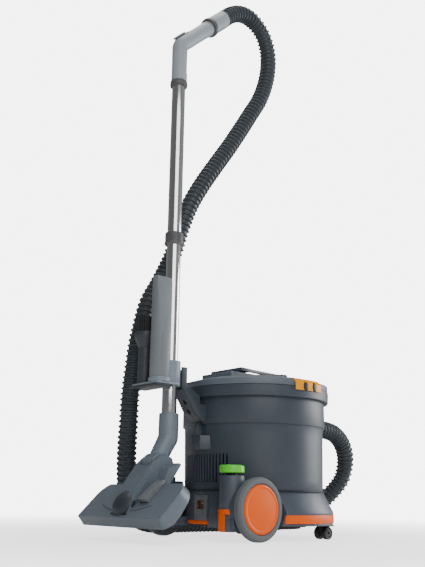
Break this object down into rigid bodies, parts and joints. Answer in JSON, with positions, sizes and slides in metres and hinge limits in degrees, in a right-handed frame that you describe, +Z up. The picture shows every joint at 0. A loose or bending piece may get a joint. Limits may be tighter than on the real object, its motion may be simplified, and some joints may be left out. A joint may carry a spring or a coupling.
{
  "type": "canister vacuum cleaner",
  "caption": "Round drum canister vacuum on two wheels and two casters, with chrome wand parked upright, tilted floor tool, small tools and long looped ribbed hose.",
  "frame": {"origin": "on the floor, under the centre of the bounding box of everything but the free hose", "axes": "+X towards the front, where the hose enters the drum; +Y towards the far side; +Z up"},
  "size_m": [0.7655, 0.4407, 1.37],
  "materials": {
    "drum_plastic": "satin charcoal plastic, fine moulded grain",
    "pod_plastic": "darker satin plastic",
    "orange_plastic": "bright orange moulded plastic",
    "amber_plastic": "amber orange moulded plastic",
    "green_plastic": "green moulded plastic",
    "black_plastic": "black plastic",
    "inlet_plastic": "grey plastic",
    "tyre_rubber": "matt grey tyre",
    "handle_plastic": "light blue-grey plastic",
    "tool_plastic": "mid-grey plastic",
    "holder_plastic": "light grey plastic",
    "ring_plastic": "dark grey ring plastic",
    "hose_plastic": "dark ribbed flexible plastic",
    "tube_chrome": "polished chrome plate",
    "steel": "bright steel",
    "pin_brass": "brass contact pins",
    "motor_metal": "cast motor frame",
    "filter_felt": "white felt filter",
    "bag_paper": "tan paper bag",
    "bristle": "black nylon bristles",
    "seal_rubber": "black rubber seal"
  },
  "bodies": {
    "canister": {"chassis": "drum_plastic", "bumper_strip": "orange_plastic", "base_plate": "black_plastic", "chassis_screws": "steel", "drum": "drum_plastic", "drum_rim": "drum_plastic", "inlet_port": "drum_plastic", "inlet_cuff": "drum_plastic", "park_arm": "drum_plastic", "park_block": "drum_plastic", "mains_inlet": "inlet_plastic", "mains_pins": "pin_brass", "pod_right": "pod_plastic", "pod_left": "pod_plastic", "rear_axle": "steel", "motor_housing": "drum_plastic", "motor_body": "motor_metal", "filter_plate": "drum_plastic", "motor_filter": "filter_felt", "dust_bag": "bag_paper", "bag_collar": "bag_paper", "hose": "hose_plastic"},
    "lid": {"lid": "drum_plastic", "lid_seal": "seal_rubber"},
    "carry_handle": {"carry_handle": "drum_plastic"},
    "latch_right": {"latch_right": "amber_plastic"},
    "latch_left": {"latch_left": "amber_plastic"},
    "foot_button_right": {"foot_button_right": "green_plastic"},
    "foot_button_left": {"foot_button_left": "orange_plastic"},
    "wheel_right": {"tyre_right": "tyre_rubber", "hub_right": "orange_plastic"},
    "wheel_left": {"tyre_left": "tyre_rubber", "hub_left": "orange_plastic"},
    "impeller": {"impeller": "motor_metal"},
    "caster_right": {"caster_hood_right": "black_plastic"},
    "caster_left": {"caster_hood_left": "black_plastic"},
    "caster_wheels_right": {"caster_wheels_right": "black_plastic"},
    "caster_wheels_left": {"caster_wheels_left": "black_plastic"},
    "wand": {"lower_tube": "tube_chrome", "upper_tube": "tube_chrome", "tube_collar": "ring_plastic", "handle_grip": "handle_plastic", "handle_ring": "ring_plastic", "tool_holder": "holder_plastic", "tool_neck": "tool_plastic"},
    "tube_button": {"tube_button": "steel"},
    "handle_button": {"handle_button": "handle_plastic"},
    "suction_slider": {"suction_slider": "handle_plastic"},
    "hose_cuff": {"hose_cuff": "handle_plastic"},
    "crevice_tool": {"crevice_tool": "tool_plastic"},
    "dusting_brush": {"brush_body": "tool_plastic", "brush_bristles": "bristle"},
    "floor_head": {"nozzle_base": "tool_plastic", "nozzle_housing": "tool_plastic", "neck_pin": "steel", "sole_plate": "steel"},
    "pedal": {"pedal": "tool_plastic"},
    "sole_brush": {"sole_brush": "bristle"}
  },
  "joints": [
    {"name": "lid_lift", "type": "slide", "parent": "canister", "child": "lid", "axis": [0, 0, 1], "range_m": [0, 0.09]},
    {"name": "handle_fold", "type": "hinge", "parent": "lid", "child": "carry_handle", "pos_m": [0.13036, 0, 0.362], "axis": [0, 1, 0], "range_deg": [0, 95]},
    {"name": "latch_right_swing", "type": "hinge", "parent": "lid", "child": "latch_right", "pos_m": [0.08536, -0.151, 0.3335], "axis": [-1, 0, 0], "range_deg": [0, 50]},
    {"name": "latch_left_swing", "type": "hinge", "parent": "lid", "child": "latch_left", "pos_m": [0.08536, 0.151, 0.3335], "axis": [1, 0, 0], "range_deg": [0, 50]},
    {"name": "foot_button_right_press", "type": "slide", "parent": "canister", "child": "foot_button_right", "axis": [0, 0, -1], "range_m": [0, 0.005], "stiffness_N_per_m": 900, "springref_m": -0.002},
    {"name": "wheel_right_roll", "type": "hinge", "parent": "canister", "child": "wheel_right", "pos_m": [-0.05164, 0, 0.063], "axis": [0, 1, 0], "continuous": true},
    {"name": "caster_right_swivel", "type": "hinge", "parent": "canister", "child": "caster_right", "pos_m": [0.18436, -0.127, 0.02], "axis": [0, 0, 1], "continuous": true},
    {"name": "caster_wheels_right_roll", "type": "hinge", "parent": "caster_right", "child": "caster_wheels_right", "pos_m": [0.17536, -0.127, 0.0135], "axis": [0, 1, 0], "continuous": true},
    {"name": "foot_button_left_press", "type": "slide", "parent": "canister", "child": "foot_button_left", "axis": [0, 0, -1], "range_m": [0, 0.005], "stiffness_N_per_m": 900, "springref_m": -0.002},
    {"name": "wheel_left_roll", "type": "hinge", "parent": "canister", "child": "wheel_left", "pos_m": [-0.05164, 0, 0.063], "axis": [0, 1, 0], "continuous": true},
    {"name": "caster_left_swivel", "type": "hinge", "parent": "canister", "child": "caster_left", "pos_m": [0.18436, 0.127, 0.02], "axis": [0, 0, 1], "continuous": true},
    {"name": "caster_wheels_left_roll", "type": "hinge", "parent": "caster_left", "child": "caster_wheels_left", "pos_m": [0.17536, 0.127, 0.0135], "axis": [0, 1, 0], "continuous": true},
    {"name": "impeller_spin", "type": "hinge", "parent": "canister", "child": "impeller", "pos_m": [0.08536, 0, 0.12], "axis": [0, 0, 1], "continuous": true},
    {"name": "wand_lift", "type": "slide", "parent": "canister", "child": "wand", "axis": [0, 0, 1], "range_m": [0, 0.05], "deforming": ["hose"]},
    {"name": "tube_button_press", "type": "slide", "parent": "wand", "child": "tube_button", "axis": [-1, 0, 0], "range_m": [0, 0.0025], "stiffness_N_per_m": 400, "springref_m": -0.001},
    {"name": "handle_button_press", "type": "slide", "parent": "wand", "child": "handle_button", "axis": [-1, 0, 0], "range_m": [0, 0.0012], "stiffness_N_per_m": 400, "springref_m": -0.001},
    {"name": "suction_slide", "type": "slide", "parent": "wand", "child": "suction_slider", "axis": [0.7009, 0, 0.7133], "range_m": [0, 0.012]},
    {"name": "hose_swivel", "type": "hinge", "parent": "wand", "child": "hose_cuff", "pos_m": [-0.16664, 0, 1.152], "axis": [0.7009, 0, 0.7133], "continuous": true},
    {"name": "crevice_pull", "type": "slide", "parent": "wand", "child": "crevice_tool", "axis": [0, 0, 1], "range_m": [0, 0.08]},
    {"name": "brush_pull", "type": "slide", "parent": "wand", "child": "dusting_brush", "axis": [0, 0, 1], "range_m": [0, 0.06]},
    {"name": "head_pitch", "type": "hinge", "parent": "wand", "child": "floor_head", "pos_m": [-0.19864, 0, 0.15], "axis": [0, 1, 0], "range_deg": [0, 54]},
    {"name": "pedal_rock", "type": "hinge", "parent": "floor_head", "child": "pedal", "pos_m": [-0.23537, 0, 0.09264], "axis": [0, -1, 0], "range_deg": [0, 6]},
    {"name": "sole_brush_drop", "type": "slide", "parent": "floor_head", "child": "sole_brush", "axis": [0.809, 0, -0.5878], "range_m": [0, 0.005]}
  ],
  "couplings": [
    {"joint": "sole_brush_drop", "follows": "pedal_rock", "m_per_rad": 0.0477}
  ]
}
